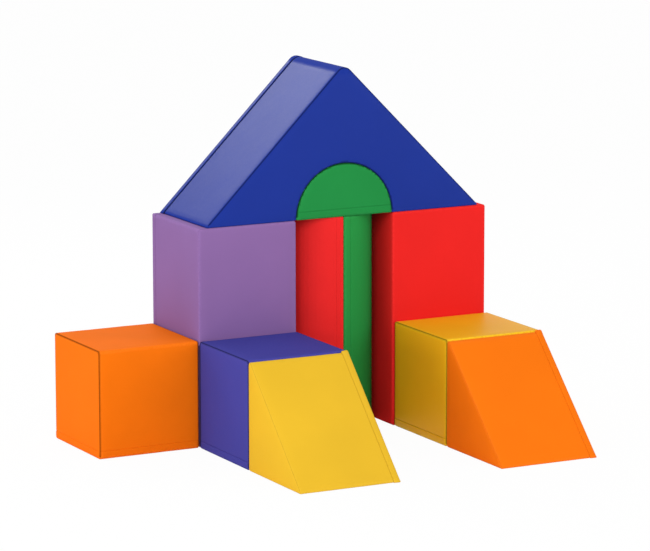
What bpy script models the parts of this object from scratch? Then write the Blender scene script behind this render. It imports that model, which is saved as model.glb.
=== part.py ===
# Soft play foam climber: a house of foam blocks with two ramps.
# Every block is a foam core in a sewn cover that closes with a flush zip.
# Metres, +Z up. The origin is the middle of the footprint, on the floor.

import math

import bmesh
import bpy
from mathutils import Matrix, Vector

for old in list(bpy.data.objects):
    bpy.data.objects.remove(old)

# Driving dimensions of the blocks
MODULE = 0.300
COLUMN_HEIGHT = 0.609
ROOF_LEG = 0.603
WEDGE_LEG = 0.3055
ARCH_RADIUS = 0.150
ARCH_CLEARANCE = 0.0003
PILLAR_RADIUS = 0.1455
PILLAR_LEFT_GAP = 0.0021
PILLAR_RIGHT_GAP = 0.0066
RIGHT_RAMP_SHIFT = 0.006
REST_GAP = 0.0003

# Covers and cores
COVER_WALL = 0.0012
CORE_GAP = 0.0003
CROWN = 0.002
CROWN_REACH = 0.085
PANEL_PITCH = 0.075
ON_PLANE = 0.0001
FOLD_RADIUS = 0.007
RIDGE_RADIUS = 0.026
TIP_RADIUS = 0.006
SEAM_RADIUS = 0.004

# Zips
ZIP_MARGIN = 0.030
ZIP_HEIGHT = 0.045
TAPE_WIDTH = 0.024
TAPE_THICKNESS = 0.0005
TAPE_END = 0.008
COIL_WIDTH = 0.0045
COIL_RISE = 0.0005
BARE_TAPE_RISE = 0.0001
COIL_DROP = 0.0008
STOP_LENGTH = 0.004
STOP_WIDTH = 0.0064
STOP_RISE = 0.0009
STOP_STEP = 0.0003
SLIDER_LENGTH = 0.012
SLIDER_WIDTH = 0.0080
SLIDER_NOSE_WIDTH = 0.0064
SLIDER_NOSE_LENGTH = 0.0035
SLIDER_PLATE = 0.0007
RUNNING_GAP = 0.0003
SLOT_SIDE_GAP = 0.0005
CUT_OVERRUN = 0.002

# How far a corner's flats may lie inside its true round
CORNER_SAG = 0.0006
ARC_STEP = math.radians(45)
ROUND_STEP = math.radians(11.25)
SHARP_ANGLE = math.radians(30)

# Colours of the covers, with the roughness of satin vinyl
ORANGE = (0.90, 0.165, 0.012)
DEEP_ORANGE = (0.95, 0.205, 0.015)
PURPLE = (0.263, 0.128, 0.366)
RED = (0.87, 0.026, 0.028)
INDIGO = (0.058, 0.048, 0.31)
YELLOW = (0.89, 0.52, 0.026)
GOLD = (0.72, 0.31, 0.018)
BLUE = (0.016, 0.040, 0.30)
GREEN = (0.022, 0.287, 0.062)
VINYL_ROUGHNESS = 0.42
FOAM = (0.80, 0.78, 0.68)
FOAM_ROUGHNESS = 0.95
TAPE_ROUGHNESS = 0.75
SLIDER_GREY = (0.30, 0.31, 0.32)
SLIDER_ROUGHNESS = 0.35


def make_material(name, colour, roughness, metallic):
    material = bpy.data.materials.new(name)
    material.use_nodes = True
    shader = material.node_tree.nodes["Principled BSDF"]
    shader.inputs["Base Color"].default_value = (*colour, 1)
    shader.inputs["Roughness"].default_value = roughness
    shader.inputs["Metallic"].default_value = metallic
    return material


def add_empty(name, location, parent):
    empty = bpy.data.objects.new(name, None)
    bpy.context.scene.collection.objects.link(empty)
    empty.location = location
    empty.parent = parent
    return empty


def add_object(name, bm, material, parent):
    mesh = bpy.data.meshes.new(name)
    bm.to_mesh(mesh)
    bm.free()
    mesh.materials.append(material)
    mesh.shade_smooth()
    mesh.set_sharp_from_angle(angle=SHARP_ANGLE)
    item = bpy.data.objects.new(name, mesh)
    bpy.context.scene.collection.objects.link(item)
    item.parent = parent
    return item


# Outlines: lists of flat points, anticlockwise

def corner_arc(before, corner, after, radius):
    """Points of the round that replaces one sharp corner."""
    to_before = (before - corner).normalized()
    to_after = (after - corner).normalized()
    half_angle = to_before.angle(to_after) / 2
    centre = corner + (to_before + to_after).normalized() * (radius / math.sin(half_angle))
    start = corner + to_before * (radius / math.tan(half_angle)) - centre
    turn = math.pi - 2 * half_angle
    steps = math.ceil(turn / 2 / math.acos(1 - CORNER_SAG / radius))
    return [centre + Matrix.Rotation(turn * k / steps, 2) @ start for k in range(steps + 1)]


def rounded_outline(corners, radii):
    points = []
    for k, radius in enumerate(radii):
        points += corner_arc(corners[k - 1], corners[k], corners[(k + 1) % len(corners)], radius)
    return points


def box_outline(width, height):
    right = width / 2
    corners = [Vector((-right, 0)), Vector((right, 0)), Vector((right, height)), Vector((-right, height))]
    return rounded_outline(corners, [FOLD_RADIUS] * 4)


def tip_setback(radius):
    """How far a round in a 45 degree corner stays back from the sharp tip."""
    return radius / math.tan(math.radians(22.5)) - radius


def wedge_outline():
    """Side view of a wedge, its back at zero and its toe towards -x."""
    corners = [Vector((-WEDGE_LEG, 0)), Vector((0, 0)), Vector((0, WEDGE_LEG))]
    return rounded_outline(corners, [TIP_RADIUS, FOLD_RADIUS, TIP_RADIUS])


def polar(radius, angle):
    return Vector((math.cos(angle), math.sin(angle))) * radius


def arc_points(radius, start, sweep):
    steps = max(1, round(abs(sweep) / ARC_STEP))
    return [polar(radius, start + sweep * k / steps) for k in range(steps + 1)]


def round_angles(fillet_angle):
    """Angles of a half circle's corners, at the same steps on a block and in the arch that it fills."""
    angles = [k * ROUND_STEP for k in range(round(math.pi / ROUND_STEP) + 1)]
    return [angle for angle in angles if fillet_angle < angle < math.pi - fillet_angle]


def half_disc_outline(radius, fold):
    """Half disc on its flat side, with the two sharp corners folded round."""
    fillet_angle = math.asin(fold / (radius - fold))
    centre = polar(radius - fold, fillet_angle)
    fillet = [centre + p for p in arc_points(fold, -math.pi / 2, math.pi / 2 + fillet_angle)]
    arc = [polar(radius, angle) for angle in round_angles(fillet_angle)]
    return fillet + arc + [Vector((-p.x, p.y)) for p in reversed(fillet)]


def roof_outline():
    """Right-angled gable on its long side, with the half-round cut-out in the middle."""
    half_base = ROOF_LEG / math.sqrt(2)
    corners = [Vector((half_base, 0)), Vector((0, half_base)), Vector((-half_base, 0))]
    outer = rounded_outline(corners, [TIP_RADIUS, RIDGE_RADIUS, TIP_RADIUS])
    fillet_angle = math.asin(TIP_RADIUS / (ARCH_RADIUS + TIP_RADIUS))
    centre = polar(ARCH_RADIUS + TIP_RADIUS, fillet_angle)
    fillet = [centre + p for p in arc_points(TIP_RADIUS, -math.pi / 2, fillet_angle - math.pi / 2)]
    arc = [polar(ARCH_RADIUS, angle) for angle in round_angles(fillet_angle)]
    left_fillet = [Vector((-p.x, p.y)) for p in fillet]
    return outer + left_fillet + list(reversed(arc)) + list(reversed(fillet))


def inset_outline(points, distance):
    """The outline with every edge moved inwards by one distance."""
    inset = []
    for k, point in enumerate(points):
        arriving = (point - points[k - 1]).normalized()
        leaving = (points[(k + 1) % len(points)] - point).normalized()
        inward = Vector((-arriving.y - leaving.y, arriving.x + leaving.x))
        inset.append(point + inward * (distance / (1 + arriving.dot(leaving))))
    return inset


# Solids

AXES = {"X": Vector((1, 0, 0)), "Y": Vector((0, 1, 0)), "Z": Vector((0, 0, 1))}


def place_point(point, depth, along):
    """A flat outline point and its depth, as a point in space, for a block that is long along one axis."""
    if along == "X":
        return Vector((depth, point.x, point.y))
    if along == "Y":
        return Vector((point.x, depth, point.y))
    return Vector((point.x, point.y, depth))


def cut_panel(bm, normal, along):
    """Divide one flat panel into cells of about the panel pitch."""
    across = AXES[along] if abs(normal.dot(AXES[along])) < 0.5 else None
    if across:
        directions = [across, across.cross(normal)]
    else:
        directions = [axis for axis in AXES.values() if abs(axis.dot(normal)) < 0.5]
    for direction in directions:
        faces = panel_faces(bm, normal)
        places = [v.co.dot(direction) for f in faces for v in f.verts]
        low = min(places)
        span = max(places) - low
        cells = max(2, round(span / PANEL_PITCH))
        for k in range(1, cells):
            faces = panel_faces(bm, normal)
            edges = {e for f in faces for e in f.edges}
            verts = {v for f in faces for v in f.verts}
            cut = direction * (low + span * k / cells)
            geometry = [*faces, *edges, *verts]
            bmesh.ops.bisect_plane(bm, geom=geometry, dist=ON_PLANE, plane_co=cut, plane_no=direction)


def panel_faces(bm, normal):
    return [f for f in bm.faces if f.normal.dot(normal) > 0.9999]


def distance_to_edge(point, edge):
    a = edge.verts[0].co
    run = edge.verts[1].co - a
    share = max(0, min(1, (point - a).dot(run) / run.length_squared))
    return (point - a - run * share).length


def crown_panel(bm, normal):
    """Push a panel out between its seams, level again beyond the crown's reach."""
    faces = set(panel_faces(bm, normal))
    rim = {e for f in faces for e in f.edges if not all(g in faces for g in e.link_faces)}
    rim_points = {v for e in rim for v in e.verts}
    inner = {v for f in faces for v in f.verts} - rim_points
    rises = {}
    for vert in inner:
        share = min(1, min(distance_to_edge(vert.co, e) for e in rim) / CROWN_REACH)
        rises[vert] = CROWN * (1 - (1 - share) ** 2)
    for vert, rise in rises.items():
        vert.co += normal * rise


def block_form(outline, length, along, crowned):
    """Closed form of one block: the outline drawn out, tight seams at both ends, crowned panels."""
    bm = bmesh.new()
    verts = [bm.verts.new(place_point(p, -length / 2, along)) for p in outline]
    first = bm.faces.new(verts)
    new = bmesh.ops.extrude_face_region(bm, geom=[first])["geom"]
    far_verts = [g for g in new if isinstance(g, bmesh.types.BMVert)]
    bmesh.ops.translate(bm, verts=far_verts, vec=AXES[along] * length)
    bmesh.ops.recalc_face_normals(bm, faces=bm.faces)
    ends = [f for f in bm.faces if len(f.verts) == len(outline) and abs(f.normal.dot(AXES[along])) > 0.9]
    seams = list({e for f in ends for e in f.edges})
    bmesh.ops.bevel(bm, geom=seams, offset=SEAM_RADIUS, segments=1, profile=0.5, affect="EDGES", material=-1)
    bm.normal_update()
    for normal in crowned:
        cut_panel(bm, normal, along)
        bm.normal_update()
    for normal in crowned:
        crown_panel(bm, normal)
    bm.normal_update()
    return bm


def add_cutter(name, size, centre, rotation, parent):
    bm = bmesh.new()
    bmesh.ops.create_cube(bm, size=1)
    bmesh.ops.scale(bm, vec=size, verts=bm.verts)
    bmesh.ops.translate(bm, vec=centre, verts=bm.verts)
    mesh = bpy.data.meshes.new(name)
    bm.to_mesh(mesh)
    bm.free()
    cutter = bpy.data.objects.new(name, mesh)
    bpy.context.scene.collection.objects.link(cutter)
    cutter.parent = parent
    cutter.rotation_euler = rotation
    cutter.hide_render = True
    cutter.display_type = "WIRE"
    return cutter


def cut_away(target, cutter):
    cut = target.modifiers.new("cut", "BOOLEAN")
    cut.operation = "DIFFERENCE"
    cut.solver = "EXACT"
    cut.object = cutter


# Zip heights, counted inwards from the outside of the cover

TAPE_TOP = COVER_WALL + CORE_GAP
COIL_TOP = TAPE_TOP - COIL_RISE
COIL_BOTTOM = TAPE_TOP + TAPE_THICKNESS + COIL_DROP
SLIDER_ROOF = COIL_TOP - RUNNING_GAP
SLIDER_TOP = SLIDER_ROOF - SLIDER_PLATE


def tape_profile(ridge_width, ridge_rise):
    """Cross-section of the zip: the flat tape with its coil, or a stop, along the middle."""
    tape = TAPE_WIDTH / 2
    ridge = ridge_width / 2
    top = -TAPE_TOP
    bottom = -TAPE_TOP - TAPE_THICKNESS
    underside = [(-tape, bottom), (-ridge, bottom), (-ridge, -COIL_BOTTOM)]
    underside += [(ridge, -COIL_BOTTOM), (ridge, bottom), (tape, bottom)]
    upper_side = [(tape, top), (ridge, top), (ridge, top + ridge_rise)]
    upper_side += [(-ridge, top + ridge_rise), (-ridge, top), (-tape, top)]
    return underside + upper_side


def loft(bm, loops):
    """Join closed loops of equal count end to end, and close both ends."""
    rings = [[bm.verts.new(p) for p in loop] for loop in loops]
    for first, second in zip(rings, rings[1:]):
        count = len(first)
        for k in range(count):
            bm.faces.new((first[k], first[(k + 1) % count], second[(k + 1) % count], second[k]))
    bm.faces.new(rings[0])
    bm.faces.new(rings[-1])
    bmesh.ops.recalc_face_normals(bm, faces=bm.faces)
    return bm


def zip_mesh(slot_length):
    """Tape, coil and end stops in one piece, its length along x from the slot's start."""
    bare = tape_profile(COIL_WIDTH, BARE_TAPE_RISE)
    stop = tape_profile(STOP_WIDTH, STOP_RISE)
    coil = tape_profile(COIL_WIDTH, COIL_RISE)
    near_end = [(-TAPE_END, bare), (RUNNING_GAP, bare), (RUNNING_GAP + STOP_STEP, stop), (STOP_LENGTH, stop)]
    near_end.append((STOP_LENGTH + STOP_STEP, coil))
    places = near_end + [(slot_length - x, profile) for x, profile in reversed(near_end)]
    return loft(bmesh.new(), [[(x, y, z) for y, z in profile] for x, profile in places])


def slider_profile(width):
    side = width / 2
    channel = COIL_WIDTH / 2 + RUNNING_GAP
    foot = -TAPE_TOP + RUNNING_GAP
    return [
        (-side, foot), (-channel, foot), (-channel, -SLIDER_ROOF), (channel, -SLIDER_ROOF), (channel, foot),
        (side, foot), (side, -SLIDER_TOP), (-side, -SLIDER_TOP),
    ]


def slider_mesh():
    """Flush slider without a pull: a plate over the coil with a foot each side, tapered at its nose."""
    nose = SLIDER_LENGTH - SLIDER_NOSE_LENGTH
    places = [(0, SLIDER_WIDTH), (nose, SLIDER_WIDTH), (SLIDER_LENGTH, SLIDER_NOSE_WIDTH)]
    return loft(bmesh.new(), [[(x, y, z) for y, z in slider_profile(width)] for x, width in places])


def add_zip(block, cover, core, start, run, outward, slot_length, tape_material, slider_material):
    """Cut the zip's slot and pocket, and put the zip and its slider in them.

    start is the slot's beginning on the outside of the cover and run the way that the zip goes from there.
    """
    name = block.name.replace("_block", "")
    side = outward.cross(run)
    rotation = Matrix((run, side, outward)).transposed().to_euler()
    seat = add_empty(name + "_zip_seat", start, block)
    slot_width = SLIDER_WIDTH + 2 * SLOT_SIDE_GAP
    slot_size = (slot_length, slot_width, COVER_WALL + CORE_GAP / 2 + CUT_OVERRUN)
    slot_centre = (slot_length / 2, 0, CUT_OVERRUN - slot_size[2] / 2)
    cut_away(cover, add_cutter(name + "_slot_cutter", slot_size, slot_centre, rotation, seat))
    pocket_floor = COIL_BOTTOM + CORE_GAP
    pocket_length = slot_length + 2 * TAPE_END + 2 * CORE_GAP
    pocket_size = (pocket_length, TAPE_WIDTH + 2 * CORE_GAP, pocket_floor + CUT_OVERRUN)
    pocket_centre = (slot_length / 2, 0, CUT_OVERRUN - pocket_size[2] / 2)
    cut_away(core, add_cutter(name + "_pocket_cutter", pocket_size, pocket_centre, rotation, seat))
    chain = add_object(name + "_zip", zip_mesh(slot_length), tape_material, seat)
    chain.rotation_euler = rotation
    slider = add_object(name + "_slider", slider_mesh(), slider_material, seat)
    slider.rotation_euler = rotation
    slider.location = run * (STOP_LENGTH + STOP_STEP + RUNNING_GAP)
    travel = slot_length - 2 * (STOP_LENGTH + STOP_STEP + RUNNING_GAP) - SLIDER_LENGTH
    print(name, "slider travels", round(travel, 5), "along", tuple(round(c, 4) for c in run))


def add_block(name, colour, location, form, zip_start, zip_run, zip_outward, zip_length):
    """One block: an empty at its foot that carries the cover, the core, the zip and the slider.

    The foam is cut flat, and the cover crowns over it.
    """
    outline, length, along, crowned = form
    block = add_empty(name + "_block", location, house)
    vinyl = make_material(name + "_vinyl", colour, VINYL_ROUGHNESS, 0)
    tape = make_material(name + "_tape", colour, TAPE_ROUGHNESS, 0)
    cover = add_object(name + "_cover", block_form(outline, length, along, crowned), vinyl, block)
    wall = cover.modifiers.new("wall", "SOLIDIFY")
    wall.thickness = COVER_WALL
    wall.offset = -1
    wall.use_even_offset = True
    depth = COVER_WALL + CORE_GAP
    foam = block_form(inset_outline(outline, depth), length - 2 * depth, along, [])
    core = add_object(name + "_core", foam, foam_material, block)
    add_zip(block, cover, core, zip_start, zip_run, zip_outward, zip_length, tape, slider_material)
    return block


# The blocks' own forms, each centred on its foot

LEFT, RIGHT = Vector((-1, 0, 0)), Vector((1, 0, 0))
FRONT, BACK = Vector((0, -1, 0)), Vector((0, 1, 0))
UP, DOWN = Vector((0, 0, 1)), Vector((0, 0, -1))
BLOCK_SIDE = MODULE - REST_GAP
SEAM_SIDE = BLOCK_SIDE - 2 * CROWN
# The back panel holds the zip and is flat, so a box is crowned at its front only and sits half a crown back
BOX_DEPTH = BLOCK_SIDE - CROWN
BOX_SHIFT = CROWN / 2


def shifted(outline, shift):
    return [Vector((p.x + shift, p.y)) for p in outline]


def cube_form():
    """Cube with crowned sides, front and top, flat below and at the back."""
    outline = shifted(box_outline(BOX_DEPTH, MODULE - CROWN), BOX_SHIFT)
    return outline, SEAM_SIDE, "X", [LEFT, RIGHT, FRONT, UP]


def column_form():
    """Tall column with crowned sides and front, and a flat top for the roof."""
    outline = shifted(box_outline(BOX_DEPTH, COLUMN_HEIGHT), BOX_SHIFT)
    return outline, SEAM_SIDE, "X", [LEFT, RIGHT, FRONT]


def wedge_form():
    slope = (FRONT + UP).normalized()
    return wedge_outline(), SEAM_SIDE, "X", [LEFT, RIGHT, slope]


def roof_form():
    left_slope = (LEFT + UP).normalized()
    return roof_outline(), SEAM_SIDE, "Y", [FRONT, BACK, left_slope]


def half_round_form():
    return half_disc_outline(ARCH_RADIUS - ARCH_CLEARANCE, TIP_RADIUS), SEAM_SIDE, "Y", [FRONT, BACK]


def pillar_form(sign):
    """Half of the round pillar, standing on end, its flat side facing along x with the given sign."""
    outline = [Vector((-sign * p.y, sign * p.x)) for p in half_disc_outline(PILLAR_RADIUS, TIP_RADIUS)]
    return outline, COLUMN_HEIGHT, "Z", []


def add_cube(name, colour, location):
    start = Vector((-MODULE / 2 + ZIP_MARGIN, BLOCK_SIDE / 2, ZIP_HEIGHT))
    add_block(name, colour, location, cube_form(), start, RIGHT, BACK, MODULE - 2 * ZIP_MARGIN)


def add_column(name, colour, location):
    start = Vector((0, BLOCK_SIDE / 2, ZIP_MARGIN))
    add_block(name, colour, location, column_form(), start, UP, BACK, COLUMN_HEIGHT - 2 * ZIP_MARGIN)


def add_wedge(name, colour, location):
    start = Vector((-MODULE / 2 + ZIP_MARGIN, 0, ZIP_HEIGHT))
    add_block(name, colour, location, wedge_form(), start, RIGHT, BACK, MODULE - 2 * ZIP_MARGIN)


def add_roof(name, colour, location):
    half_base = ROOF_LEG / math.sqrt(2)
    outward = (RIGHT + UP).normalized()
    up_slope = (LEFT + UP).normalized()
    start = RIGHT * half_base + up_slope * ZIP_HEIGHT + FRONT * (MODULE / 2 - ZIP_MARGIN)
    add_block(name, colour, location, roof_form(), start, BACK, outward, MODULE - 2 * ZIP_MARGIN)


def add_half_round(name, colour, location):
    start = Vector((0, -MODULE / 2 + ZIP_MARGIN, 0))
    add_block(name, colour, location, half_round_form(), start, BACK, DOWN, MODULE - 2 * ZIP_MARGIN)


def add_pillar_half(name, colour, location, sign):
    start = Vector((0, 0, ZIP_MARGIN - COLUMN_HEIGHT / 2))
    slot = COLUMN_HEIGHT - 2 * ZIP_MARGIN
    add_block(name, colour, location, pillar_form(sign), start, UP, RIGHT * sign, slot)


# The house: blocks on a grid of one module, counted from the foot of the purple column's front left corner

door_width = PILLAR_LEFT_GAP + 2 * PILLAR_RADIUS + REST_GAP + PILLAR_RIGHT_GAP
wedge_front = -MODULE - REST_GAP / 2 - (WEDGE_LEG - tip_setback(TIP_RADIUS))
middle_x = (MODULE + door_width + RIGHT_RAMP_SHIFT) / 2
middle_y = (MODULE - REST_GAP / 2 + wedge_front) / 2
house = add_empty("house", (-middle_x, -middle_y, 0), None)

foam_material = make_material("foam", FOAM, FOAM_ROUGHNESS, 0)
slider_material = make_material("slider_metal", SLIDER_GREY, SLIDER_ROUGHNESS, 1)

half = MODULE / 2
back_row = half
front_row = -half
wedge_back = -MODULE - REST_GAP / 2
left_bay = half
pillar_split = MODULE + PILLAR_LEFT_GAP + PILLAR_RADIUS + REST_GAP / 2
right_bay = MODULE + door_width + half
ramp_bay = right_bay + RIGHT_RAMP_SHIFT
roof_foot = COLUMN_HEIGHT + REST_GAP
roof_middle = MODULE + door_width / 2
pillar_row = REST_GAP / 2 + PILLAR_RADIUS

add_column("purple_column", PURPLE, (left_bay, back_row, 0))
add_cube("orange_cube", ORANGE, (-half, back_row, 0))
add_cube("blue_cube", INDIGO, (left_bay, front_row, 0))
add_wedge("yellow_wedge", YELLOW, (left_bay, wedge_back, 0))
add_column("red_column", RED, (right_bay, back_row, 0))
add_cube("gold_cube", GOLD, (ramp_bay, front_row, 0))
add_wedge("orange_wedge", DEEP_ORANGE, (ramp_bay, wedge_back, 0))
add_roof("roof_arch", BLUE, (roof_middle, back_row, roof_foot))
add_half_round("half_round", GREEN, (roof_middle, back_row, roof_foot))
add_pillar_half("red_half_round", RED, (pillar_split - REST_GAP / 2, pillar_row, COLUMN_HEIGHT / 2), 1)
add_pillar_half("green_half_round", GREEN, (pillar_split + REST_GAP / 2, pillar_row, COLUMN_HEIGHT / 2), -1)
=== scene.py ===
import math

import bmesh
import bpy
from mathutils import Matrix, Vector, kdtree, noise


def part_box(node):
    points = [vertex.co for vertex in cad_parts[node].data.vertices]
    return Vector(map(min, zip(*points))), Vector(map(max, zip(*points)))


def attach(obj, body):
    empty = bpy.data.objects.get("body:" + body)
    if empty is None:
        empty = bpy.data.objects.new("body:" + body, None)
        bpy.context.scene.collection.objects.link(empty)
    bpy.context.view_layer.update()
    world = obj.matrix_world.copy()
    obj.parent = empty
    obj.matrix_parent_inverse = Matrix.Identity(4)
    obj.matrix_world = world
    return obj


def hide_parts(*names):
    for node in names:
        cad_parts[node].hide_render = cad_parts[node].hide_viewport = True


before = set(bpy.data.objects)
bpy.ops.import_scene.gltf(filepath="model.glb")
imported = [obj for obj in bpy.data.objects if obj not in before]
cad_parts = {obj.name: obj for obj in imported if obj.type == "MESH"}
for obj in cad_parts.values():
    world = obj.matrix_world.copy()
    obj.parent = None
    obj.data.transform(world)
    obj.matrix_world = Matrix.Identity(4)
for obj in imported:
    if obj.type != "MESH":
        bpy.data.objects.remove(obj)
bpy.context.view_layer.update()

# Soft play foam climber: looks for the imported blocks.
# Each block gets a sewn vinyl cover, its foam, a zip and a slider. All sizes are in metres.

print("frame loaded,", len(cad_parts), "nodes")


# Camera, as the photograph was taken
cameraView = {
    "aim": (0.0667, 0.1136, 0.4559),
    "azimuth": -27.53,
    "elevation": 10.45,
    "roll": -0.07,
    "distance": 10.23,
    "lens": 205.4,
    "sensor": 36.0,
}


def addCamera(view):
    azimuth = math.radians(view["azimuth"])
    elevation = math.radians(view["elevation"])
    flat = math.cos(elevation)
    back = Vector((math.sin(azimuth) * flat, -math.cos(azimuth) * flat, math.sin(elevation)))
    data = bpy.data.cameras.new("camera")
    data.lens = view["lens"]
    data.sensor_width = view["sensor"]
    data.clip_end = 100
    camera = bpy.data.objects.new("camera", data)
    bpy.context.scene.collection.objects.link(camera)
    camera.location = Vector(view["aim"]) + back * view["distance"]
    level = (-back).to_track_quat("-Z", "Y").to_matrix()
    camera.rotation_euler = (level @ Matrix.Rotation(math.radians(view["roll"]), 3, "Z")).to_euler()
    bpy.context.scene.camera = camera


addCamera(cameraView)
print("camera placed")


# Node helpers

def newMaterial(name):
    material = bpy.data.materials.new(name)
    material.use_nodes = True
    material.node_tree.nodes.clear()
    return material, material.node_tree.nodes, material.node_tree.links


def addNode(nodes, kind, **settings):
    node = nodes.new(kind)
    for key, value in settings.items():
        setattr(node, key, value)
    return node


def feed(links, socket, value):
    if isinstance(value, bpy.types.NodeSocket):
        links.new(value, socket)
    else:
        socket.default_value = value


def objectPoints(nodes, links, turn=(0, 0, 0)):
    coords = addNode(nodes, "ShaderNodeTexCoord")
    mapping = addNode(nodes, "ShaderNodeMapping")
    mapping.inputs["Rotation"].default_value = turn
    links.new(coords.outputs["Object"], mapping.inputs["Vector"])
    return mapping.outputs["Vector"]


def addNoise(nodes, links, points, scale, detail, roughness=0.5):
    texture = addNode(nodes, "ShaderNodeTexNoise")
    texture.inputs["Scale"].default_value = scale
    texture.inputs["Detail"].default_value = detail
    texture.inputs["Roughness"].default_value = roughness
    links.new(points, texture.inputs["Vector"])
    return texture.outputs["Fac"]


def addCells(nodes, links, points, scale):
    texture = addNode(nodes, "ShaderNodeTexVoronoi", feature="SMOOTH_F1")
    texture.inputs["Scale"].default_value = scale
    links.new(points, texture.inputs["Vector"])
    return texture.outputs["Distance"]


noiseSpan = (0.3, 0.7)  # most of a noise lies between these
cellSpan = (0.1, 0.6)


def addMap(nodes, links, source, fromLow, fromHigh, low, high):
    spread = addNode(nodes, "ShaderNodeMapRange")
    spread.inputs["From Min"].default_value = fromLow
    spread.inputs["From Max"].default_value = fromHigh
    spread.inputs["To Min"].default_value = low
    spread.inputs["To Max"].default_value = high
    links.new(source, spread.inputs["Value"])
    return spread.outputs["Result"]


def addMath(nodes, links, operation, first, second):
    node = addNode(nodes, "ShaderNodeMath", operation=operation)
    feed(links, node.inputs[0], first)
    feed(links, node.inputs[1], second)
    return node.outputs[0]


def addMix(nodes, links, factor, first, second):
    mix = addNode(nodes, "ShaderNodeMix", data_type="RGBA", blend_type="MIX")
    feed(links, mix.inputs[0], factor)
    feed(links, mix.inputs[6], first)
    feed(links, mix.inputs[7], second)
    return mix.outputs[2]


def addBump(nodes, links, height, strength, distance, normal=None):
    bump = addNode(nodes, "ShaderNodeBump")
    bump.inputs["Strength"].default_value = strength
    bump.inputs["Distance"].default_value = distance
    links.new(height, bump.inputs["Height"])
    if normal is not None:
        links.new(normal, bump.inputs["Normal"])
    return bump.outputs["Normal"]


def finishShader(nodes, links, inputs):
    shader = addNode(nodes, "ShaderNodeBsdfPrincipled")
    for name, value in inputs.items():
        feed(links, shader.inputs[name], value)
    output = addNode(nodes, "ShaderNodeOutputMaterial")
    links.new(shader.outputs["BSDF"], output.inputs["Surface"])


def shaded(colour, share, lift=0.0):
    return (*[min(1, c * share + lift) for c in colour], 1)


# Mesh helpers

touching = 1e-5  # points closer than this are one
onPlane = 1e-4   # points this close to a plane lie on it
square = 0.999   # a direction with more than this share of an axis lies along it
facesIt = 0.9    # a side with more than this share of a direction faces it
unit = {"X": Vector((1, 0, 0)), "Y": Vector((0, 1, 0)), "Z": Vector((0, 0, 1))}
place = {
    "X": lambda u, v, w: Vector((w, u, v)),
    "Y": lambda u, v, w: Vector((u, w, v)),
    "Z": lambda u, v, w: Vector((u, v, w)),
}
flatten = {
    "X": lambda p: Vector((p.y, p.z)),
    "Y": lambda p: Vector((p.x, p.z)),
    "Z": lambda p: Vector((p.x, p.y)),
}


def meshPiece(name, bm, materials):
    mesh = bpy.data.meshes.new(name)
    bm.to_mesh(mesh)
    bm.free()
    for material in materials:
        mesh.materials.append(material)
    mesh.shade_smooth()
    piece = bpy.data.objects.new(name, mesh)
    bpy.context.scene.collection.objects.link(piece)
    return piece


def cutAcross(bm, normal, places):
    for spot in places:
        geom = [*bm.verts, *bm.edges, *bm.faces]
        bmesh.ops.bisect_plane(bm, geom=geom, dist=coverForm["cutSnap"], plane_co=normal * spot,
                               plane_no=normal)


def spanAlong(node, direction):
    spans = [corner.co.dot(direction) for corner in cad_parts[node].data.vertices]
    return min(spans), max(spans)


def smoothStep(low, high, value):
    share = max(0, min(1, (value - low) / (high - low)))
    return share * share * (3 - 2 * share)


# Blocks. A block is drawn out along one axis: its two ends are sewn panels, the rest is one wrap.
# closing is the panel with the zip's flap, whose strip shows as a faint ridge on the panels beside it,
# with painted shade along the ridge's groove. The zip lies on the facing side and runs along run. The seam
# settings give the painted shade in the seam grooves. backCreviceShade and cornerCreviceShade are painted
# shade in the
# crevices beside the block behind: the width of one along the back edge, and the reach and top of one at
# the corner. rubAndHighlightTone pales the rubbed folds, for wear and as a painted highlight.

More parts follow.
